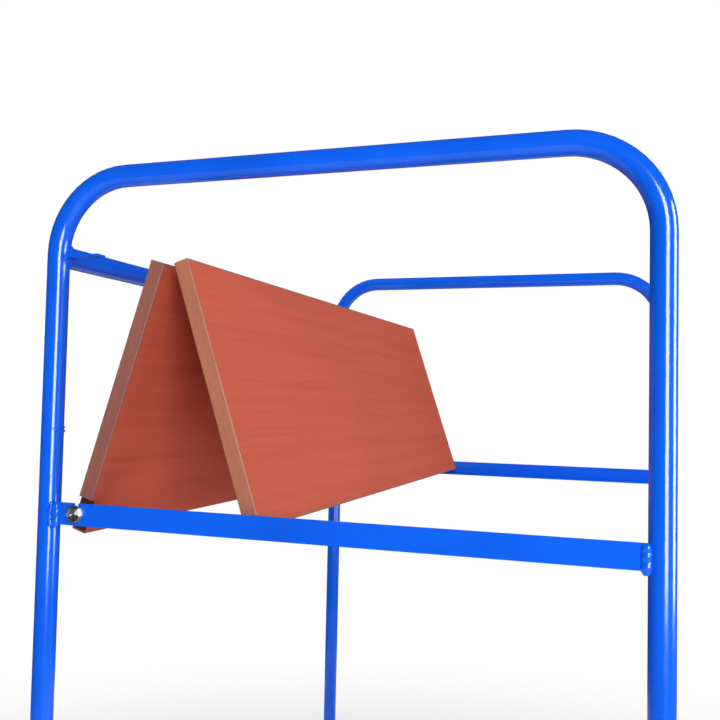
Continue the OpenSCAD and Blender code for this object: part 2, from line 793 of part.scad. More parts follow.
module axle_bore(y) {
    translate([-fork_out, y, wheel_r]) along_x() cylinder(r = axle_d / 2 + turn_clear, h = 2 * fork_out);
}

module swivel_fork(sx) {
    slot_w = pedal_in_w + 2 * pedal_side_gap;
    slot_start = brake_y - pedal_hub_r - 5.5;
    color(zinc) at_castor(sx, -1) difference() {
        union() {
            intersection() {
                fork_channel(fork_top, 4 * race_r + 2 * fork_reach);
                across(fork_out + 2)
                    fork_outline(fork_top, -race_r - 1, fork_reach, fork_back_drop, fork_front_drop, trail);
            }
            translate([0, 0, fork_top - race_lap])
                cylinder(r1 = race_r - 1, r2 = race_r - race_draft, h = race_dome + race_lap);
        }
        translate([-slot_w / 2, slot_start, fork_top - fork_bend])
            cube([slot_w, fork_reach - slot_start + 1, fork_bend + 1]);
        translate([0, 0, fork_top - press_t - 1])
            cylinder(r = king_d / 2 + turn_clear, h = press_t + race_dome + 2);
        translate([0, 0, race_low - race_gap / 2]) rotate_extrude()
            translate([ball_ring_r, 0]) circle(d = ball_d + 2 * ball_gap);
        axle_bore(trail);
        translate([-fork_out, brake_y, brake_z]) along_x()
            cylinder(r = brake_pin_d / 2 + turn_clear, h = 2 * fork_out);
    }
}
module swivel_fork_back() { swivel_fork(-1); }
module swivel_fork_front() { swivel_fork(1); }

// Bracket of a fixed castor: its channel is welded under the top plate
module fixed_bracket(sx) {
    half = bracket_half;
    color(zinc) at_castor(sx, 1) difference() {
        union() {
            castor_plate();
            intersection() {
                fork_channel(plate_low + eps, 4 * half);
                across(fork_out + 2)
                    fork_outline(plate_low + eps, -half, half, fork_back_drop, fork_back_drop, 0);
            }
        }
        axle_bore(0);
    }
}
module fixed_bracket_back() { fixed_bracket(-1); }
module fixed_bracket_front() { fixed_bracket(1); }

// Axle bolt with its nut, across the fork
module axle(sx, sy) {
    y = sy < 0 ? trail : 0;
    side_gap = 0.1;
    face = fork_out / 2 + side_gap;
    color(zinc) at_castor(sx, sy) translate([0, y, wheel_r]) {
        translate([-face - axle_head_t, 0, 0]) along_x() hex_head(axle_af, axle_head_t);
        translate([-face - eps, 0, 0]) along_x() cylinder(d = axle_d, h = 2 * face + axle_head_t + 2);
        translate([face, 0, 0]) along_x() difference() {
            hex_head(axle_af, axle_head_t);
            translate([0, 0, -1]) cylinder(d = axle_d + thread_gap, h = axle_head_t + 2);
        }
    }
}
module axle_near_back() { axle(-1, -1); }
module axle_near_front() { axle(1, -1); }
module axle_far_back() { axle(-1, 1); }
module axle_far_front() { axle(1, 1); }

module at_wheel(sx, sy) {
    at_castor(sx, sy) translate([0, sy < 0 ? trail : 0, wheel_r]) along_x() children();
}

module tyre(sx, sy) {
    color(tyre_grey) at_wheel(sx, sy) rotate_extrude($fn = 96) union() {
        translate([rim_r, -tyre_w / 2]) square([wheel_r - tread_r - rim_r, tyre_w]);
        translate([rim_r, tread_r - tyre_w / 2]) square([wheel_r - rim_r, tyre_w - 2 * tread_r]);
        for (s = [-1, 1]) translate([wheel_r - tread_r, s * (tyre_w / 2 - tread_r)]) circle(tread_r);
    }
}
module tyre_near_back() { tyre(-1, -1); }
module tyre_near_front() { tyre(1, -1); }
module tyre_far_back() { tyre(-1, 1); }
module tyre_far_front() { tyre(1, 1); }

module ring(r0, r1, w) {
    translate([0, 0, -w / 2]) difference() {
        cylinder(r = r1, h = w);
        translate([0, 0, -1]) cylinder(r = r0, h = w + 2);
    }
}

// Moulded wheel centre: rim, web, ribs and a boss that turns on the axle
module wheel_hub(sx, sy) {
    rim_in = rim_r - rim_t;
    color(hub_grey) at_wheel(sx, sy) {
        difference() {
            union() {
                ring(rim_in, rim_r - rim_gap, rim_w);
                cylinder(r = rim_in + 1, h = web_t, center = true);
                cylinder(r = boss_r, h = boss_w, center = true);
                for (i = [0 : rib_count - 1]) rotate([0, 0, i * 360 / rib_count])
                    translate([boss_r - 2, -rib_t / 2, -rib_w / 2]) cube([rim_in - boss_r + 3, rib_t, rib_w]);
            }
            cylinder(r = axle_d / 2 + turn_clear, h = boss_w + 2, center = true);
        }
    }
}
module wheel_hub_near_back() { wheel_hub(-1, -1); }
module wheel_hub_near_front() { wheel_hub(1, -1); }
module wheel_hub_far_back() { wheel_hub(-1, 1); }
module wheel_hub_far_front() { wheel_hub(1, 1); }

// A point of the brake shoe in the released pose, given its place along Y when it meets the tyre.
// Both are measured from the brake pin.
function shoe_point(y) =
    let (z = wheel_r - brake_z + sqrt(pow(wheel_r + shoe_gap, 2) - pow(y + brake_y - trail, 2)))
    [y * cos(brake_travel) - z * sin(brake_travel), y * sin(brake_travel) + z * cos(brake_travel)];

// Brake pedal: it turns about its pin, and its shoe comes down on the tyre
module brake_pedal(sx) {
    heel = shoe_point(4);
    toe = shoe_point(12);
    color(hub_grey) at_castor(sx, -1) translate([0, brake_y, brake_z]) difference() {
        union() {
            across(pedal_in_w) {
                circle(pedal_hub_r);
                polygon([[-pedal_hub_r / 2, pedal_hub_r - 1], [tread_in, arm_high], [tread_in, arm_low],
                    toe + [2.5, 4], toe, heel, [-pedal_hub_r / 2, 1 - pedal_hub_r]]);
            }
            across(pedal_out_w) polygon([[tread_in, arm_low], [tread_in, arm_high],
                [tread_out, tread_high], [tread_out + 2, tread_high - 1.5],
                [tread_out, tread_high - arm_high + arm_low]]);
        }
        translate([-pedal_out_w, 0, 0]) along_x()
            cylinder(r = brake_pin_d / 2 + turn_clear, h = 2 * pedal_out_w);
    }
}
module brake_pedal_back() { brake_pedal(-1); }
module brake_pedal_front() { brake_pedal(1); }

module brake_pin(sx) {
    half = fork_out / 2;
    r = brake_pin_d / 2;
    color(zinc) at_castor(sx, -1) translate([0, brake_y, brake_z]) along_x() rotate_extrude() polygon([
        [0, -half - 2], [r, -half - 2], [r + 1.5, -half - 0.8], [r + 1.5, -half - 0.1],
        [r, -half - 0.1], [r, half + 0.1], [r + 1.5, half + 0.1], [r + 1.5, half + 0.8],
        [r, half + 2], [0, half + 2]]);
}
module brake_pin_back() { brake_pin(-1); }
module brake_pin_front() { brake_pin(1); }

end_frame_near();
end_frame_far();
back_rail();
stop_lugs();
folding_bearer_near();
folding_bearer_far();
upper_bearers();
lower_bearers();
deck_bearers();
base_rails();
corner_plates();
upper_shelf_board();
upper_shelf_edging();
lower_shelf_board();
lower_shelf_edging();
deck_board();
deck_edging();
shelf_screws();
rear_leaf_board();
rear_leaf_edging();
pivot_bolt_near();
pivot_bolt_far();
pivot_spacers();
pivot_inserts();
rear_hinge_plates();
hinge_pins();
rear_hinge_screws();
front_leaf_board();
front_leaf_edging();
front_hinge_plates();
front_hinge_screws();
castor_bolts();
castor_nuts();
swivel_plate_back();
swivel_plate_front();
king_pin_back();
king_pin_front();
swivel_balls();
swivel_fork_back();
swivel_fork_front();
fixed_bracket_back();
fixed_bracket_front();
axle_near_back();
axle_near_front();
axle_far_back();
axle_far_front();
brake_pedal_back();
brake_pedal_front();
brake_pin_back();
brake_pin_front();
tyre_near_back();
tyre_near_front();
tyre_far_back();
tyre_far_front();
wheel_hub_near_back();
wheel_hub_near_front();
wheel_hub_far_back();
wheel_hub_far_front();
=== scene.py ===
"""Finishes, welds and studio for the shelf trolley with a folding top shelf."""

import math
from typing import NamedTuple

import bmesh
import bpy
from mathutils import Matrix, Vector


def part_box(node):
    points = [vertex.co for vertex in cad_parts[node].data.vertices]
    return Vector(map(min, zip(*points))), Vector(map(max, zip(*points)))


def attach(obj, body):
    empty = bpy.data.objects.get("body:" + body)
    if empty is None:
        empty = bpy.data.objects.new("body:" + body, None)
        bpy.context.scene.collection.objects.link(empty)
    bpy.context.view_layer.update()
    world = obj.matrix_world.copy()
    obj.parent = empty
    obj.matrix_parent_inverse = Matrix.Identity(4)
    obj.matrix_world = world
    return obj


bl_info = {
    "name": "Folding Shelf Trolley",
    "version": (1, 0, 0),
    "blender": (4, 5, 0),
    "location": "3D View > Sidebar > Trolley",
    "description": "Paints, welds and lights a shelf trolley with a folding top shelf",
    "category": "Object",
}

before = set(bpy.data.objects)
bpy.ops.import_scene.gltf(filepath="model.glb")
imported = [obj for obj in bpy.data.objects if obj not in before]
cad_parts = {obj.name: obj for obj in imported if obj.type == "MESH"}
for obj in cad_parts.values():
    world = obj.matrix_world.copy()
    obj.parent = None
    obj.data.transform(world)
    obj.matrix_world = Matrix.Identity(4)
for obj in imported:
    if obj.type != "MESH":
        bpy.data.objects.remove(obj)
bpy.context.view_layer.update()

# Sizes of the end frames, read from the near one. X runs across the trolley, from the back to the
# open front, and Y along it, from the near end to the far one.
END_LOW, END_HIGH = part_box("end_frame_near")
TUBE_R = (END_HIGH.y - END_LOW.y) / 2
LEG_X = END_HIGH.x - TUBE_R
END_Y = -(END_LOW.y + END_HIGH.y) / 2
LEG_FOOT = END_LOW.z
TOP_BAR = END_HIGH.z - TUBE_R

# Signs of X and Y at each leg
BACK_LEGS = [(-1, -1), (-1, 1)]
LEGS = BACK_LEGS + [(1, -1), (1, 1)]

STEELWORK = [
    "end_frame_near", "end_frame_far", "back_rail", "stop_lugs", "folding_bearer_near",
    "folding_bearer_far", "upper_bearers", "lower_bearers", "deck_bearers", "base_rails",
    "corner_plates",
]
BEARERS = {
    "upper": "upper_bearers", "lower": "lower_bearers", "deck": "deck_bearers",
    "folding": "folding_bearer_near",
}
FIXED_BOARDS = ["upper_shelf", "lower_shelf", "deck"]
ZINC_PARTS = [
    "shelf_screws", "pivot_spacers", "pivot_inserts", "rear_hinge_plates", "hinge_pins",
    "rear_hinge_screws", "front_hinge_plates", "front_hinge_screws", "castor_bolts",
    "castor_nuts", "swivel_plate_back", "swivel_plate_front", "king_pin_back", "king_pin_front",
    "swivel_balls", "swivel_fork_back", "swivel_fork_front", "fixed_bracket_back",
    "fixed_bracket_front", "axle_near_back", "axle_near_front", "axle_far_back",
    "axle_far_front", "brake_pin_back", "brake_pin_front",
]
CASTORS = ["near_back", "near_front", "far_back", "far_front"]

ENAMEL = "Blue_enamel"
WHITE = (1.0, 1.0, 1.0)

# How a weld bead is drawn: the degrees in a step along an arc, the points in a ripple, the sides of
# its section, how blunt its ends are and over how many points they widen, and a direction in which
# no seam runs
ARC_STEP = 4
ARC_MIN_STEPS = 6
RIPPLE_POINTS = 7
BEAD_SIDES = 10
BLUNT_END = 0.25
TAPER_POINTS = 5
OFF_THE_SEAM = Vector((0.31, 0.17, 0.93))

# Where the beads lie against the pieces that they join, in metres, and in degrees how far the arc
# under a bearer's end runs, where its lower leg is cut back, or to where it runs, where it is whole
LUG_SEAM_OUT = 0.0004
TRACE_RISE = 0.0042
FACE_BEAD_INWARDS = 0.0042
FACE_BEAD_SUNK = 0.0006
FACE_BEAD_BELOW = 0.0038
UNDER_SEAM_OUT = 0.0002
CUT_BACK_ARC = 16
WHOLE_ARC = 62
PLATE_SEAM_INWARDS = 0.0045
PLATE_SEAM_UP = 0.0006
PLATE_SEAM_STARTS = (0.024, 0.070)
PLATE_SEAM_LENGTH = 0.024

# The studio, in metres. The floor is itself up to the first distance from the trolley and white
# from the second. The room and the windows show in gloss alone.
FLOOR_REACH = 30.0
FLOOR_ENDS = 1.2
WHITE_STARTS = 4.0
ROOM_R = 3.6
ROOM_HEIGHT = 3.6
ROOM_WALLS = 32
WINDOW_DISTANCE = 2.4
WINDOW_SILL = 0.85
WINDOW_HEAD = 2.9


def middle(node):
    """The middle of a node's box"""
    low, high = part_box(node)
    return (low + high) / 2


def tinted(colour, share, lift=0.0):
    """A colour with its channels scaled, and lifted where it gets paler"""
    return tuple(min(1.0, channel * share + lift) for channel in colour)


class SteelSettings(bpy.types.PropertyGroup):
    """Paint and welds of the tube frame"""

    paint: bpy.props.FloatVectorProperty(
        name="Paint", description="Colour of the enamel on the frame",
        subtype="COLOR", size=3, min=0, max=1, default=(0.0025, 0.112, 0.80))
    paint_gloss: bpy.props.FloatProperty(
        name="Paint roughness", description="Roughness of the enamel",
        subtype="FACTOR", min=0.02, max=1, default=0.13)
    peel: bpy.props.FloatProperty(
        name="Orange peel", description="Depth of the fine waves in the enamel",
        unit="LENGTH", subtype="DISTANCE", min=0, max=0.001, default=0.00002)
    bend_radius: bpy.props.FloatProperty(
        name="Bend radius", description="Radius of the end frames' top bends, on the tube's axis",
        unit="LENGTH", subtype="DISTANCE", min=0.05, max=0.15, default=0.0875)
    trace_height: bpy.props.FloatProperty(
        name="Weld trace", description="Height of the short weld run on each back leg",
        unit="LENGTH", subtype="DISTANCE", default=1.4975)
    bead: bpy.props.FloatProperty(
        name="Weld bead", description="Half width of a weld bead",
        unit="LENGTH", subtype="DISTANCE", min=0.001, max=0.005, default=0.0033)
    bead_pitch: bpy.props.FloatProperty(
        name="Weld ripple", description="Distance between the ripples of a weld bead",
        unit="LENGTH", subtype="DISTANCE", min=0.001, max=0.02, default=0.0084)


class BoardSettings(bpy.types.PropertyGroup):
    """Laminate and edging of the boards"""

    laminate: bpy.props.FloatVectorProperty(
        name="Laminate", description="Middle colour of the red wood laminate",
        subtype="COLOR", size=3, min=0, max=1, default=(0.505, 0.094, 0.053))
    laminate_dark: bpy.props.FloatVectorProperty(
        name="Laminate grain", description="Colour of the darkest grain streaks",
        subtype="COLOR", size=3, min=0, max=1, default=(0.41, 0.069, 0.040))
    edging: bpy.props.FloatVectorProperty(
        name="Edging", description="Colour of the tan edging strips",
        subtype="COLOR", size=3, min=0, max=1, default=(0.44, 0.152, 0.086))
    # A darker copy of the edging colour, which the rear leaf's edging takes
    rear_edging: bpy.props.FloatVectorProperty(
        name="Rear edging", description="Colour of the browner edging strips on the rear leaf",
        subtype="COLOR", size=3, min=0, max=1, default=(0.29, 0.099, 0.077))
    # Painted shade along the rounded arrises, darker and greyer, which tones down the light line
    # that they catch
    arris_shade: bpy.props.FloatVectorProperty(
        name="Edging arris", description="Colour of the edging along its rounded arrises",
        subtype="COLOR", size=3, min=0, max=1, default=(0.17, 0.085, 0.078))
    # Raw board at the cut-back ends, darkened nearly to black as painted shade of the recesses
    shaded_raw_end: bpy.props.FloatVectorProperty(
        name="Cut end", description="Colour of the sealed board where its ends are cut back",
        subtype="COLOR", size=3, min=0, max=1, default=(0.075, 0.022, 0.012))
    lift_angle: bpy.props.FloatProperty(
        name="Rear leaf angle", description="Angle of the rear leaf above level at rest",
        unit="ROTATION", subtype="ANGLE", default=math.radians(72.419))
    fall_angle: bpy.props.FloatProperty(
        name="Front leaf angle", description="Angle of the front leaf below level at rest",
        unit="ROTATION", subtype="ANGLE", default=math.radians(71.499))
    thickness: bpy.props.FloatProperty(
        name="Board thickness", description="Thickness of the boards",
        unit="LENGTH", subtype="DISTANCE", min=0.01, max=0.03, default=0.018)


class MetalSettings(bpy.types.PropertyGroup):
    """Turned and plated steel"""

    zinc: bpy.props.FloatVectorProperty(
        name="Zinc plate", description="Colour of the zinc plated steel",
        subtype="COLOR", size=3, min=0, max=1, default=(0.62, 0.64, 0.66))
    # At full strength this colour is the painted highlight on the bolt heads; scaled down, it is
    # the steel itself
    turned: bpy.props.FloatVectorProperty(
        name="Turned steel", description="Colour of the turned pivot bolts",
        subtype="COLOR", size=3, min=0, max=1, default=(0.86, 0.88, 0.92))
    turning_pitch: bpy.props.FloatProperty(
        name="Turning marks", description="Distance between the turning marks on the bolt heads",
        unit="LENGTH", subtype="DISTANCE", min=0.0001, max=0.002, default=0.0006)
    # The angle and the reach of the painted highlight on the bolt heads
    painted_highlight_angle: bpy.props.FloatProperty(
        name="Bright fan", description="Angle of the bright fan on the bolt heads above level",
        unit="ROTATION", subtype="ANGLE", default=math.radians(18))
    painted_highlight_reach: bpy.props.FloatProperty(
        name="Fan reach",
        description="Distance from the bolt's axis at which the fan's short side ends",
        unit="LENGTH", subtype="DISTANCE", min=0.002, max=0.01, default=0.0046)


class WheelSettings(bpy.types.PropertyGroup):
    """Mouldings of the castors"""

    rubber: bpy.props.FloatVectorProperty(
        name="Tyre rubber", description="Colour of the tyres",
        subtype="COLOR", size=3, min=0, max=1, default=(0.045, 0.045, 0.05))
    centre: bpy.props.FloatVectorProperty(
        name="Wheel centre", description="Colour of the moulded wheel centres",
        subtype="COLOR", size=3, min=0, max=1, default=(0.15, 0.16, 0.17))
    pedal: bpy.props.FloatVectorProperty(
        name="Brake pedal", description="Colour of the moulded brake pedals",
        subtype="COLOR", size=3, min=0, max=1, default=(0.09, 0.09, 0.10))


class StudioSettings(bpy.types.PropertyGroup):
    """Camera, floor and lights"""

    eye: bpy.props.FloatVectorProperty(
        name="Camera place", description="Where the camera stands",
        unit="LENGTH", subtype="TRANSLATION", size=3, default=(0.3278, -1.2964, 1.5401))
    look: bpy.props.FloatVectorProperty(
        name="Camera direction", description="Direction in which the camera looks",
        subtype="DIRECTION", size=3, default=(-0.3259, 0.9443, 0.0460))
    upright: bpy.props.FloatVectorProperty(
        name="Camera top", description="Direction of the picture's top",
        subtype="DIRECTION", size=3, default=(-0.005, -0.0504, 0.9987))
    lens: bpy.props.FloatProperty(
        name="Lens", description="Focal length on a 36 mm wide sensor, in millimetres",
        unit="CAMERA", min=10, max=200, default=43.5)
    floor: bpy.props.FloatVectorProperty(
        name="Floor", description="Colour of the floor",
        subtype="COLOR", size=3, min=0, max=1, default=(0.86, 0.86, 0.86))
    daylight: bpy.props.FloatProperty(
        name="Room light", description="Level of the even light from all sides",
        min=0, max=3, default=0.28)
    front_light: bpy.props.FloatProperty(
        name="Front light", description="Power of the soft light beyond the near end",
        unit="POWER", min=0, max=2000, default=121)
    side_light: bpy.props.FloatProperty(
        name="Side light", description="Power of the soft light beyond the open front",
        unit="POWER", min=0, max=2000, default=68)
    top_light: bpy.props.FloatProperty(
        name="Top light", description="Power of the soft light above the back",
        unit="POWER", min=0, max=2000, default=24)
    front_window: bpy.props.FloatProperty(
        name="Front window",
        description="Brightness of the tall window that gloss reflects from the near end",
        min=0, max=100, default=27)
    side_window: bpy.props.FloatProperty(
        name="Side window",
        description="Brightness of the tall window that gloss reflects from the open front",
        min=0, max=100, default=20)
    room: bpy.props.FloatProperty(
        name="Room tone", description="Brightness of the room that gloss reflects",
        min=0, max=1, default=0.05)


SETTINGS = {
    "trolley_steel": SteelSettings,
    "trolley_boards": BoardSettings,
    "trolley_metal": MetalSettings,
    "trolley_wheels": WheelSettings,
    "trolley_studio": StudioSettings,
}


class Wire:
    """One output of a shader node. An expression on wires adds the Math nodes it stands for."""

    def __init__(self, finish, socket):
        self.finish = finish
        self.socket = socket

    def maths(self, operation, first, second=0.0):
        return self.finish.node("ShaderNodeMath", {"operation": operation}, {0: first, 1: second})

    def __add__(self, other):
        return self.maths("ADD", self, other)

    def __radd__(self, other):
        return self.maths("ADD", other, self)

    def __sub__(self, other):
        return self.maths("SUBTRACT", self, other)

    def __rsub__(self, other):
        return self.maths("SUBTRACT", other, self)

    def __mul__(self, other):
        return self.maths("MULTIPLY", self, other)

    def __rmul__(self, other):
        return self.maths("MULTIPLY", other, self)

    def __truediv__(self, other):
        return self.maths("DIVIDE", self, other)

    def __rtruediv__(self, other):
        return self.maths("DIVIDE", other, self)

    def __pow__(self, other):
        return self.maths("POWER", self, other)

    def __rpow__(self, other):
        return self.maths("POWER", other, self)

    def __gt__(self, other):
        return self.maths("GREATER_THAN", self, other)

    def __lt__(self, other):
        return self.maths("LESS_THAN", self, other)

    def __abs__(self):
        return self.maths("ABSOLUTE", self)

    def sine(self):
        return self.maths("SINE", self)

    def or_more(self, other):
        """The larger of the two"""
        return self.maths("MAXIMUM", self, other)

    def ramp(self, start, end):
        """0 below start and 1 above end, with a smooth rise between them"""
        return self.finish.node(
            "ShaderNodeMapRange", {"interpolation_type": "SMOOTHSTEP"},
            {"Value": self, "From Min": start, "From Max": end})


class Finish:
    """The nodes of a material, or of the world, under construction"""

    def __init__(self, owner):
        self.owner = owner
        owner.use_nodes = True
        self.tree = owner.node_tree
        self.tree.nodes.clear()

    def node(self, kind, settings=None, inputs=None, out=0):
        """Adds a node from its type, its settings and the values or wires of its sockets"""
        made = self.tree.nodes.new(kind)
        for name, value in (settings or {}).items():
            setattr(made, name, value)
        for name, value in (inputs or {}).items():
            socket = made.inputs[name]
            if isinstance(value, Wire):
                self.tree.links.new(value.socket, socket)
            elif socket.type == "RGBA":
                socket.default_value = (*value[:3], 1.0)
            else:
                socket.default_value = value
        return Wire(self, made.outputs[out])

    def place(self):
        """The point on the piece in metres, as it stands at rest"""
        return self.node("ShaderNodeTexCoord", out="Object")

    def facing(self, axis):
        """How squarely the surface faces along an axis, from 0 to 1"""
        outward = self.node("ShaderNodeNewGeometry", out="True Normal")
        return abs(self.part(outward, axis))

    def vectors(self, operation, first, second):
        return self.node(
            "ShaderNodeVectorMath", {"operation": operation}, {0: first, 1: second})

    def part(self, vector, axis):
        """One coordinate of a vector"""
        return self.node("ShaderNodeSeparateXYZ", inputs={0: vector}, out=axis)

    def tipped(self, vector, centre, angle):
        """The point as seen from a board that has been tipped about the Y axis"""
        return self.node(
            "ShaderNodeVectorRotate", {"rotation_type": "Y_AXIS"},
            {"Vector": self.vectors("SUBTRACT", vector, centre), "Angle": angle})

    def noise(self, vector, scale, detail=2.0, roughness=0.5):
        """Noise with so many waves to the metre"""
        return self.node(
            "ShaderNodeTexNoise",
            inputs={"Vector": vector, "Scale": scale, "Detail": detail, "Roughness": roughness})

    def streaks(self, vector, x, y, z, detail=2.0, roughness=0.5):
        """Noise with its own number of waves to the metre along each axis"""
        return self.noise(self.vectors("MULTIPLY", vector, (x, y, z)), 1.0, detail, roughness)

    def shade(self, first, second, share):
        """A colour that goes from the first to the second as share goes from 0 to 1"""
        return self.node(
            "ShaderNodeMix", {"data_type": "RGBA", "clamp_factor": True},
            {0: share, 6: first, 7: second}, out=2)

    def bump(self, height, distance, under=None):
        """A normal for a height, over the normal of coarser bumps where they are given"""
        inputs = {"Height": height, "Distance": distance}
        if under is not None:
            inputs["Normal"] = under
        return self.node("ShaderNodeBump", inputs=inputs)

    def surface(self, **sockets):
        """The shader of a solid surface, with its sockets named as words joined by underscores"""
        inputs = {name.replace("_", " "): value for name, value in sockets.items()}
        return self.output(self.node("ShaderNodeBsdfPrincipled", inputs=inputs))

    def output(self, shader, kind="ShaderNodeOutputMaterial"):
        """Joins the last shader to the output, and gives the finished material or world"""
        end = self.tree.nodes.new(kind)
        self.tree.links.new(shader.socket, end.inputs["Surface"])
        return self.owner


def new_finish(name):
    """The empty finish of a new material"""
    return Finish(bpy.data.materials.new(name))


def dress(nodes, material):
    """Gives a finish to CAD nodes"""
    for name in nodes:
        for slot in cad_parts[name].material_slots:
            slot.material = material


def enamel(settings):
    """Glossy blue enamel with faint waves and handling marks"""
    finish = new_finish(ENAMEL)
    place = finish.place()
    cloud = finish.noise(place, scale=7.0, detail=3.0)
    peel = finish.noise(place, scale=330.0)
    wave = finish.noise(place, scale=60.0, detail=1.0)
    marks = finish.streaks(place, x=260.0, y=260.0, z=22.0, detail=4.0).ramp(0.60, 0.80)
    colour = finish.shade(
        tinted(settings.paint, 0.86), settings.paint, share=cloud.ramp(0.30, 0.62))
    waves = finish.bump(wave, distance=settings.peel * 3)
    return finish.surface(
        Base_Color=colour,
        Roughness=settings.paint_gloss + 0.04 * cloud + 0.08 * marks,
        Normal=finish.bump(peel, distance=settings.peel, under=waves),
        Specular_IOR_Level=0.35)


def laminate(settings, centre, angle):
    """Even red wood laminate, with fine faint grain along the trolley"""
    finish = new_finish("Cherry_laminate")
    spot = finish.tipped(finish.place(), centre, angle)
    bend = finish.streaks(spot, x=9.0, y=3.2, z=9.0) * 0.016
    drift = finish.node("ShaderNodeCombineXYZ", inputs={0: bend, 1: 0.0, 2: bend})
    bent = finish.vectors("ADD", spot, drift)
    bands = finish.streaks(bent, x=66.0, y=1.6, z=66.0, detail=3.0)
    lines = finish.streaks(bent, x=480.0, y=3.6, z=480.0, detail=3.0, roughness=0.6)
    pores = finish.streaks(bent, x=1300.0, y=42.0, z=1300.0, detail=1.0)
    grain = 0.45 * bands.ramp(0.34, 0.62) + 0.55 * lines.ramp(0.32, 0.60)
    pore = pores.ramp(0.66, 0.76)
    base = finish.shade(settings.laminate_dark, settings.laminate, share=0.40 + 0.60 * grain)
    face = finish.shade(base, settings.laminate_dark, share=pore * 0.35)
    # Painted shade: end faces, mostly inside the recesses, take the raw board colour darkened
    # nearly to black
    shaded_cut_end = finish.facing("Y") > 0.7
    return finish.surface(
        Base_Color=finish.shade(face, settings.shaded_raw_end, share=shaded_cut_end),
        Roughness=0.58 + 0.06 * (1 - grain) + 0.08 * pore + 0.28 * shaded_cut_end,
        Normal=finish.bump(lines - 0.5 * pore, distance=0.00004),
        Specular_IOR_Level=0.10)


def edging(name, settings, colour, centre, angle):
    """Edging strip, mottled and grained along its length, with painted shade, darker and greyer,
    along its arrises
    """
    finish = new_finish(name)
    spot = finish.tipped(finish.place(), centre, angle)
    depth = abs(finish.part(spot, "Z")) / (settings.thickness / 2)
    arris = depth.ramp(0.93, 0.98)
    lines = finish.streaks(spot, x=30.0, y=30.0, z=900.0, detail=3.0, roughness=0.6)
    mottle = finish.streaks(spot, x=160.0, y=160.0, z=420.0, detail=4.0, roughness=0.6)
    cloud = finish.streaks(spot, x=14.0, y=14.0, z=90.0)
    grain = (0.35 * lines + 0.35 * mottle + 0.3 * cloud).ramp(0.40, 0.60)
    strip = finish.shade(tinted(colour, 0.82), colour, share=grain)
    return finish.surface(
        # Painted shade on the arrises, which tones down their highlight
        Base_Color=finish.shade(strip, settings.arris_shade, share=arris * 0.7),
        Roughness=0.48 - 0.06 * arris + 0.10 * lines,
        Normal=finish.bump(lines + mottle, distance=0.00004),
        Specular_IOR_Level=0.3)


def turned_steel(settings, centre):
    """Dark turned steel with bumped turning rings. A bow-tie of white, less metallic colour on each
    side of the bolt's axis is a painted highlight, and its part towards the back is short. The
    head's rim is duller than its face."""
    finish = new_finish("Turned_steel")
    place = finish.place()
    offset = finish.vectors("SUBTRACT", place, centre)
    across, up = finish.part(offset, "X"), finish.part(offset, "Z")
    reach = (across * across + up * up) ** 0.5
    wander = finish.noise(place, scale=900.0, detail=1.0)
    rings = (reach * (2 * math.pi / settings.turning_pitch) + 2.2 * wander).sine()
    stain = finish.noise(place, scale=420.0, detail=3.0)
    lean_x, lean_z = math.cos(settings.painted_highlight_angle), math.sin(settings.painted_highlight_angle)
    along = (across * lean_x + up * lean_z) / (reach + 0.0001)
    # Painted highlight: a bow-tie across the head, short towards the back, where the colour turns
    # white and the metal drops
    painted_highlight_fan = (abs(along + (stain - 0.5) * 0.12) + 0.04 * along).ramp(0.86, 0.95)
    short_side = 1 - (along > 0)
    bright = painted_highlight_fan * (1 - short_side * reach.ramp(settings.painted_highlight_reach * 0.8, settings.painted_highlight_reach))
    rim = 1 - (finish.facing("Y") > 0.5)
    base = finish.shade(
        tinted(settings.turned, 0.10), tinted(settings.turned, 0.36),
        share=stain.ramp(0.35, 0.65))
    # The painted highlight mixes in the full steel colour and lowers the metal
    return finish.surface(
        Base_Color=finish.shade(base, settings.turned, share=bright),
        Metallic=(1 - 0.85 * bright) * (1 - 0.5 * rim),
        Roughness=0.30 + 0.15 * stain + 0.30 * rim,
        Normal=finish.bump(rings, distance=0.00004))


def zinc_plate(settings):
    """Zinc plated steel, slightly clouded"""
    finish = new_finish("Zinc_plate")
    place = finish.place()
    cloud = finish.noise(place, scale=38.0, detail=4.0)
    spangle = finish.node(
        "ShaderNodeTexVoronoi", {"feature": "F1"}, {"Vector": place, "Scale": 210.0}, out="Color")
    flake = finish.part(spangle, "X")
    red, green, blue = settings.zinc
    warm = (red * 0.94, green * 0.91, blue * 0.84)
    tint = finish.shade(settings.zinc, warm, share=cloud.ramp(0.42, 0.68))
    return finish.surface(
        Base_Color=finish.shade(tint, tinted(settings.zinc, 0.80), share=flake * 0.35),
        Metallic=0.95,
        Roughness=0.30 + 0.16 * cloud + 0.06 * flake,
        Normal=finish.bump(cloud + 0.3 * flake, distance=0.00008))


def tyre_rubber(settings):
    """Grey rubber with floor dust"""
    finish = new_finish("Tyre_rubber")
    place = finish.place()
    fine = finish.noise(place, scale=700.0, detail=3.0)
    dust = finish.noise(place, scale=45.0, detail=5.0, roughness=0.6).ramp(0.46, 0.74)
    return finish.surface(
        Base_Color=finish.shade(
            settings.rubber, tinted(settings.rubber, 2.2, lift=0.02), share=dust * 0.55),
        Roughness=0.58 + 0.22 * dust,
        Normal=finish.bump(fine, distance=0.00012),
        Specular_IOR_Level=0.35)


def moulding(name, colour):
    """Moulded nylon with a fine texture"""
    finish = new_finish(name)
    place = finish.place()
    grit = finish.noise(place, scale=950.0)
    flow = finish.noise(place, scale=22.0, detail=3.0)
    return finish.surface(
        Base_Color=finish.shade(
            colour, tinted(colour, 1.35, lift=0.01), share=flow.ramp(0.40, 0.75)),
        Roughness=0.42 + 0.14 * flow,
        Normal=finish.bump(grit, distance=0.00008))


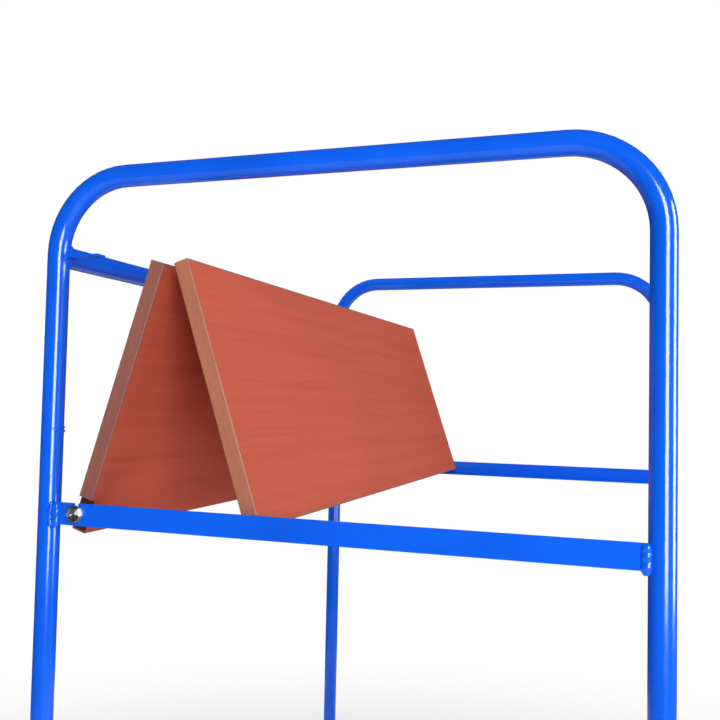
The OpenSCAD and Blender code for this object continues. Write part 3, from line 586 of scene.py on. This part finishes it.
def leg_axis_x(settings, height):
    """Distance of a leg's axis from the middle plane at a height, in the leg or its top bend"""
    rise = max(0.0, height - (TOP_BAR - settings.bend_radius))
    return LEG_X - settings.bend_radius + math.sqrt(settings.bend_radius ** 2 - rise ** 2)


def saddle_seam(settings, leg, height):
    """Seam where a rail along the trolley meets a leg, once round the rail from its underside"""
    side_x, side_y = leg
    seam = []
    for degrees in range(-90, 271, 5):
        turn = math.radians(degrees)
        x, z = LEG_X + TUBE_R * math.cos(turn), height + TUBE_R * math.sin(turn)
        shift = x - leg_axis_x(settings, z)
        inwards = math.sqrt(max(0.0, TUBE_R ** 2 - shift ** 2))
        seam.append(Vector((side_x * x, side_y * (END_Y - inwards), z)))
    return seam


def leg_point(settings, leg, height, degrees):
    """Point on a leg's surface. The angle is from the inward direction across the trolley, and a
    positive one turns towards the other end frame."""
    side_x, side_y = leg
    turn = math.radians(degrees)
    x = leg_axis_x(settings, height) - TUBE_R * math.cos(turn)
    return Vector((side_x * x, side_y * (END_Y - TUBE_R * math.sin(turn)), height))


def leg_arc(settings, leg, height, start, end):
    """Level arc round a leg, between two angles"""
    steps = max(ARC_MIN_STEPS, int(abs(end - start) / ARC_STEP))
    return [leg_point(settings, leg, height, start + (end - start) * step / steps)
            for step in range(steps + 1)]


def drooping(arc, droop=0.0035, fade=8):
    """An arc whose start is lifted, so that it runs down to its own height"""
    return [point + Vector((0, 0, droop * math.exp(-fade * number / len(arc))))
            for number, point in enumerate(arc)]


def bowed_seam(settings, leg, low, high, start, bow=9, steps=12):
    """Seam up a leg beside a bearer's end, bowed away from the bearer by so many degrees"""
    seam = []
    for step in range(steps + 1):
        height = low + (high - low) * step / steps
        turn = start - bow * math.sin(math.pi * step / steps)
        seam.append(leg_point(settings, leg, height, turn))
    return seam


def evenly(seam, step):
    """Points at equal distances along a seam"""
    lengths = [0.0]
    for a, b in zip(seam, seam[1:]):
        lengths.append(lengths[-1] + (b - a).length)
    count = max(4, round(lengths[-1] / step))
    points, place = [], 0
    for number in range(count + 1):
        wanted = lengths[-1] * number / count
        while place < len(seam) - 2 and lengths[place + 1] < wanted:
            place += 1
        span = max(1e-9, lengths[place + 1] - lengths[place])
        points.append(seam[place].lerp(seam[place + 1], (wanted - lengths[place]) / span))
    return points


def bead_swell(number):
    """Width of a bead at one of its points: round ripples, and the unevenness of handwork"""
    ripple = number % RIPPLE_POINTS / RIPPLE_POINTS
    arch = math.sqrt(max(0.0, 1 - (2 * ripple - 1) ** 2))
    wobble = 1 + 0.07 * math.sin(number * 0.83) + 0.05 * math.sin(number * 2.1 + 1)
    return (0.70 + 0.38 * arch) * wobble


class Bead(NamedTuple):
    """A weld bead: its seam, its width against the usual one, and its depth along Y against its
    width. One that is flatter than round keeps an even width, and its ripples show on its face."""

    seam: list
    width: float = 1.0
    depth: float = 1.0


def add_bead(settings, mesh, bead):
    """Adds a rippled bead with rounded ends. A thin one has closer ripples."""
    pitch = settings.bead_pitch * (0.6 + 0.4 * min(bead.width, 1.0))
    points = evenly(bead.seam, pitch / RIPPLE_POINTS)
    last = len(points) - 1
    rings = []
    for number, point in enumerate(points):
        ahead = points[min(number + 1, last)] - points[max(number - 1, 0)]
        ahead.normalize()
        side = ahead.cross(OFF_THE_SEAM).normalized()
        top = ahead.cross(side)
        swell = bead_swell(number)
        taper = min(1.0, BLUNT_END + min(number, last - number) / TAPER_POINTS)
        radius = settings.bead * bead.width * swell * math.sqrt(taper)
        even = 1.0 if bead.depth == 1.0 else 1 / swell
        ring = []
        for corner in range(BEAD_SIDES):
            turn = 2 * math.pi * corner / BEAD_SIDES
            x, y, z = radius * (math.cos(turn) * side + math.sin(turn) * top)
            ring.append(mesh.verts.new(point + Vector((x * even, y * bead.depth, z))))
        rings.append(ring)
    for first, second in zip(rings, rings[1:]):
        for a in range(BEAD_SIDES):
            b = (a + 1) % BEAD_SIDES
            mesh.faces.new((first[a], first[b], second[b], second[a]))
    mesh.faces.new(rings[0][::-1])
    mesh.faces.new(rings[-1])


def welded_piece(settings, name, beads):
    """One piece that holds all the beads of a group"""
    mesh = bmesh.new()
    for bead in beads:
        add_bead(settings, mesh, bead)
    bmesh.ops.recalc_face_normals(mesh, faces=mesh.faces)
    for face in mesh.faces:
        face.smooth = True
    data = bpy.data.meshes.new(name)
    mesh.to_mesh(data)
    mesh.free()
    data.materials.append(bpy.data.materials[ENAMEL])
    piece = bpy.data.objects.new(name, data)
    bpy.context.scene.collection.objects.link(piece)
    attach(piece, "frame")


class TROLLEY_OT_steelwork(bpy.types.Operator):
    """Paint the tube frame, its bearers and its plates"""

    bl_idname = "trolley.steelwork"
    bl_label = "Paint the Steelwork"

    def execute(self, context):
        dress(STEELWORK, enamel(context.scene.trolley_steel))
        return {"FINISHED"}


class TROLLEY_OT_rail_welds(bpy.types.Operator):
    """Weld the back rail and the stop lugs to the back legs, and add the short weld runs"""

    bl_idname = "trolley.rail_welds"
    bl_label = "Weld the Rail and Lugs"

    def execute(self, context):
        settings = context.scene.trolley_steel
        rail_z = middle("back_rail").z
        lug_low, lug_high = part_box("stop_lugs")
        lug_seams = (lug_low.z - LUG_SEAM_OUT, lug_high.z + LUG_SEAM_OUT)
        trace_z = settings.trace_height
        rail_beads, lug_beads, traces = [], [], []
        for leg in BACK_LEGS:
            rail_beads.append(Bead(saddle_seam(settings, leg, rail_z)))
            for z in lug_seams:
                lug_beads.append(Bead(leg_arc(settings, leg, z, start=-28, end=44), width=0.62))
            trace = leg_arc(settings, leg, trace_z, start=-50, end=70)
            upper = leg_arc(settings, leg, trace_z + TRACE_RISE, start=-20, end=70)
            traces += [Bead(drooping(trace), width=0.47), Bead(upper, width=0.36)]
        welded_piece(settings, "back_rail_welds", rail_beads)
        welded_piece(settings, "stop_lug_welds", lug_beads)
        welded_piece(settings, "back_leg_weld_traces", traces)
        return {"FINISHED"}


class TROLLEY_OT_bearer_welds(bpy.types.Operator):
    """Weld the ends of the bearer angles to the legs"""

    bl_idname = "trolley.bearer_welds"
    bl_label = "Weld the Bearers"

    def execute(self, context):
        settings = context.scene.trolley_steel
        for level, node in BEARERS.items():
            low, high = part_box(node)
            # The bearer's upright leg stands this far outside the legs' axes
            face = -low.y - END_Y
            face_x = LEG_X - math.sqrt(TUBE_R ** 2 - face ** 2)
            face_turn = -math.degrees(math.asin(face / TUBE_R))
            beads = []
            for leg in LEGS:
                side_x, side_y = leg
                cut_back = level == "folding" and side_x < 0
                x = side_x * (face_x - FACE_BEAD_INWARDS)
                y = side_y * (END_Y + face - FACE_BEAD_SUNK)
                foot, head = Vector((x, y, low.z - FACE_BEAD_BELOW)), Vector((x, y, high.z))
                beads.append(Bead([head, foot], width=1.60, depth=0.54))
                end = face_turn + CUT_BACK_ARC if cut_back else WHOLE_ARC
                under = leg_arc(settings, leg, low.z - UNDER_SEAM_OUT, start=face_turn, end=end)
                beads.append(Bead(under, width=0.7))
                if cut_back:
                    seam = bowed_seam(settings, leg, foot.z, high.z, start=face_turn)
                    beads.append(Bead(seam, width=0.9))
            welded_piece(settings, level + "_bearer_welds", beads)
        return {"FINISHED"}


class TROLLEY_OT_base_welds(bpy.types.Operator):
    """Weld the legs, the base rails and the corner plates together"""

    bl_idname = "trolley.base_welds"
    bl_label = "Weld the Base"

    def execute(self, context):
        settings = context.scene.trolley_steel
        rail_z = middle("base_rails").z
        beads = []
        for leg in LEGS:
            side_x, side_y = leg
            beads.append(Bead(saddle_seam(settings, leg, rail_z)))
            foot = leg_arc(settings, leg, LEG_FOOT, start=-62, end=66)
            beads.append(Bead(foot, width=0.9))
            x, z = side_x * (LEG_X - PLATE_SEAM_INWARDS), LEG_FOOT + PLATE_SEAM_UP
            for start in PLATE_SEAM_STARTS:
                seam = [Vector((x, side_y * (END_Y - start - length), z))
                        for length in (0.0, PLATE_SEAM_LENGTH)]
                beads.append(Bead(seam, width=0.8))
        welded_piece(settings, "base_welds", beads)
        return {"FINISHED"}


class TROLLEY_OT_boards(bpy.types.Operator):
    """Finish the fixed boards and the folding shelf's two leaves"""

    bl_idname = "trolley.boards"
    bl_label = "Finish the Boards"

    def execute(self, context):
        settings = context.scene.trolley_boards
        pivot, mid_leaf = middle("pivot_bolt_near"), middle("front_leaf_board")
        pivot.y = mid_leaf.y = 0.0
        # The rear leaf's edging takes the darker copy of the edging colour
        tan, rear_darker = ("Tan_edging", settings.edging), ("Brown_edging", settings.rear_edging)
        boards = [(level, tan, middle(level + "_board"), 0.0) for level in FIXED_BOARDS]
        boards.append(("rear_leaf", rear_darker, pivot, settings.lift_angle))
        boards.append(("front_leaf", tan, mid_leaf, -settings.fall_angle))
        for board, (name, colour), centre, angle in boards:
            dress([board + "_board"], laminate(settings, centre, angle))
            dress([board + "_edging"], edging(name, settings, colour, centre, angle))
        return {"FINISHED"}


class TROLLEY_OT_metal_parts(bpy.types.Operator):
    """Finish the pivot bolts, hinges, screws and the castors' steel"""

    bl_idname = "trolley.metal_parts"
    bl_label = "Finish the Metal Parts"

    def execute(self, context):
        settings = context.scene.trolley_metal
        bolt_axis = middle("pivot_bolt_near")
        dress(["pivot_bolt_near", "pivot_bolt_far"], turned_steel(settings, bolt_axis))
        dress(ZINC_PARTS, zinc_plate(settings))
        return {"FINISHED"}


class TROLLEY_OT_wheels(bpy.types.Operator):
    """Finish the tyres, wheel centres and brake pedals"""

    bl_idname = "trolley.wheels"
    bl_label = "Finish the Wheels"

    def execute(self, context):
        settings = context.scene.trolley_wheels
        dress(["tyre_" + castor for castor in CASTORS], tyre_rubber(settings))
        dress(["wheel_hub_" + castor for castor in CASTORS],
              moulding("Wheel_centre", settings.centre))
        dress(["brake_pedal_back", "brake_pedal_front"],
              moulding("Pedal_moulding", settings.pedal))
        return {"FINISHED"}


def stage_panel(name, corners, material):
    """A flat panel of the studio from its four corners"""
    data = bpy.data.meshes.new(name)
    data.from_pydata([tuple(corner) for corner in corners], [], [(0, 1, 2, 3)])
    data.materials.append(material)
    panel = bpy.data.objects.new(name, data)
    bpy.context.scene.collection.objects.link(panel)
    return panel


def gloss_panel(name, corners, material):
    """A panel that only gloss shows"""
    panel = stage_panel(name, corners, material)
    panel.visible_camera = False
    panel.visible_diffuse = False
    panel.visible_transmission = False
    panel.visible_volume_scatter = False
    panel.visible_shadow = False


def level_square(reach, height):
    """Corners of a level square over or under the trolley"""
    return [(x * reach, y * reach, height) for x, y in ((-1, -1), (1, -1), (1, 1), (-1, 1))]


def glow(name, strength):
    """Plain light from a panel"""
    finish = new_finish(name)
    return finish.output(
        finish.node("ShaderNodeEmission", inputs={"Color": WHITE, "Strength": strength}))


def seen_directly(finish):
    """1 for the camera, for gloss and for glass, and 0 for the light that falls on things"""
    camera, gloss, glass = [
        finish.node("ShaderNodeLightPath", out=f"Is {ray} Ray")
        for ray in ("Camera", "Glossy", "Transmission")]
    return camera.or_more(gloss.or_more(glass))


def studio_floor(settings):
    """A pale floor that turns into the white background away from the trolley"""
    finish = new_finish("Pale_floor")
    flat = finish.vectors("MULTIPLY", finish.place(), (1.0, 1.0, 0.0))
    away = finish.node(
        "ShaderNodeVectorMath", {"operation": "LENGTH"}, {0: flat}, out="Value")
    paint = finish.node("ShaderNodeBsdfPrincipled", inputs={
        "Base Color": settings.floor, "Roughness": 0.7, "Specular IOR Level": 0.2,
        "Emission Color": WHITE, "Emission Strength": 0.12})
    white = finish.node("ShaderNodeEmission", inputs={"Color": WHITE, "Strength": 1.0})
    share = away.ramp(FLOOR_ENDS, WHITE_STARTS) * seen_directly(finish)
    return finish.output(
        finish.node("ShaderNodeMixShader", inputs={0: share, 1: paint, 2: white}))


def light_world(scene, settings):
    """Even daylight that the camera and gloss see as white"""
    scene.world = bpy.data.worlds.new("Studio_world")
    finish = Finish(scene.world)
    level = settings.daylight + (1.0 - settings.daylight) * seen_directly(finish)
    shine = finish.node("ShaderNodeBackground", inputs={"Color": WHITE, "Strength": level})
    finish.output(shine, "ShaderNodeOutputWorld")


def build_room(settings):
    """A round room, dim enough that gloss shows the windows in it"""
    tone = glow("Room_tone", settings.room)
    turns = [2 * math.pi * number / ROOM_WALLS for number in range(ROOM_WALLS)]
    ring = [(ROOM_R * math.cos(turn), ROOM_R * math.sin(turn)) for turn in turns]
    for number, (first, second) in enumerate(zip(ring, ring[1:] + ring[:1])):
        corners = [(*first, 0), (*second, 0), (*second, ROOM_HEIGHT), (*first, ROOM_HEIGHT)]
        gloss_panel(f"room_wall_{number}", corners, tone)
    gloss_panel("room_ceiling", level_square(ROOM_R, ROOM_HEIGHT), tone)


def tall_window(name, azimuth, width, strength):
    """A tall bright window about the near front leg, which gloss reflects. Azimuth 0 is towards
    the near end, and 90 towards the open front."""
    turn = math.radians(azimuth)
    outward = Vector((math.sin(turn), -math.cos(turn), 0))
    sideways = Vector((math.cos(turn), math.sin(turn), 0))
    foot = Vector((LEG_X, -END_Y, 0)) + outward * WINDOW_DISTANCE
    corners = [foot + sideways * side * width / 2 + Vector((0, 0, z))
               for side, z in ((-1, WINDOW_SILL), (1, WINDOW_SILL), (1, WINDOW_HEAD),
                               (-1, WINDOW_HEAD))]
    gloss_panel(name, corners, glow(name, strength))


def soft_light(name, place, target, size, power):
    """A soft box that faces a target, and lights things without showing"""
    light = bpy.data.lights.new(name, "AREA")
    light.shape = "RECTANGLE"
    light.size, light.size_y = size
    light.energy = power
    lamp = bpy.data.objects.new(name, light)
    bpy.context.scene.collection.objects.link(lamp)
    lamp.location = place
    lamp.rotation_euler = (Vector(target) - Vector(place)).to_track_quat("-Z", "Y").to_euler()
    lamp.visible_camera = False
    lamp.visible_glossy = False


def place_camera(scene, settings):
    """The camera, where the photograph was taken from"""
    data = bpy.data.cameras.new("camera")
    data.lens, data.sensor_width, data.sensor_fit = settings.lens, 36.0, "HORIZONTAL"
    data.clip_start, data.clip_end = 0.01, 100.0
    camera = bpy.data.objects.new("camera", data)
    scene.collection.objects.link(camera)
    ahead = Vector(settings.look).normalized()
    right = ahead.cross(Vector(settings.upright)).normalized()
    top = right.cross(ahead)
    turn = Matrix((right, top, -ahead)).transposed().to_4x4()
    camera.matrix_world = Matrix.Translation(Vector(settings.eye)) @ turn
    scene.camera = camera


class TROLLEY_OT_studio(bpy.types.Operator):
    """Set up the floor, the lights and the camera"""

    bl_idname = "trolley.studio"
    bl_label = "Set Up the Studio"

    def execute(self, context):
        scene = context.scene
        settings = scene.trolley_studio
        scene.view_settings.view_transform = "Standard"
        stage_panel("floor", level_square(FLOOR_REACH, 0), studio_floor(settings))
        light_world(scene, settings)
        build_room(settings)
        tall_window("window_front", azimuth=31, width=1.04, strength=settings.front_window)
        tall_window("window_side", azimuth=101, width=1.12, strength=settings.side_window)
        soft_light(
            "front_light", place=(2.0, -3.3, 2.3), target=(0.0, -0.1, 1.2), size=(2.0, 2.2),
            power=settings.front_light)
        soft_light(
            "side_light", place=(3.9, 1.5, 2.1), target=(0.0, 0.0, 1.2), size=(2.2, 2.2),
            power=settings.side_light)
        soft_light(
            "top_light", place=(-1.2, 0.4, 3.2), target=(0.0, 0.0, 1.2), size=(1.8, 1.8),
            power=settings.top_light)
        place_camera(scene, settings)
        return {"FINISHED"}


OPERATORS = [
    TROLLEY_OT_steelwork, TROLLEY_OT_rail_welds, TROLLEY_OT_bearer_welds, TROLLEY_OT_base_welds,
    TROLLEY_OT_boards, TROLLEY_OT_metal_parts, TROLLEY_OT_wheels, TROLLEY_OT_studio,
]


class TROLLEY_PT_panel(bpy.types.Panel):
    """Lists the steps that finish the trolley, and their settings"""

    bl_label = "Shelf Trolley"
    bl_idname = "TROLLEY_PT_panel"
    bl_space_type = "VIEW_3D"
    bl_region_type = "UI"
    bl_category = "Trolley"

    def draw(self, context):
        for operator in OPERATORS:
            self.layout.operator(operator.bl_idname)
        for name, group in SETTINGS.items():
            box = self.layout.box()
            box.label(text=group.__doc__)
            for setting in group.__annotations__:
                box.prop(getattr(context.scene, name), setting)


def register():
    for group in SETTINGS.values():
        bpy.utils.register_class(group)
    for operator in OPERATORS:
        bpy.utils.register_class(operator)
    bpy.utils.register_class(TROLLEY_PT_panel)
    for name, group in SETTINGS.items():
        setattr(bpy.types.Scene, name, bpy.props.PointerProperty(type=group))


def unregister():
    for name in SETTINGS:
        delattr(bpy.types.Scene, name)
    bpy.utils.unregister_class(TROLLEY_PT_panel)
    for operator in reversed(OPERATORS):
        bpy.utils.unregister_class(operator)
    for group in SETTINGS.values():
        bpy.utils.unregister_class(group)


def main():
    register()
    for operator in OPERATORS:
        family, name = operator.bl_idname.split(".")
        getattr(getattr(bpy.ops, family), name)()


if __name__ == "__main__":
    main()
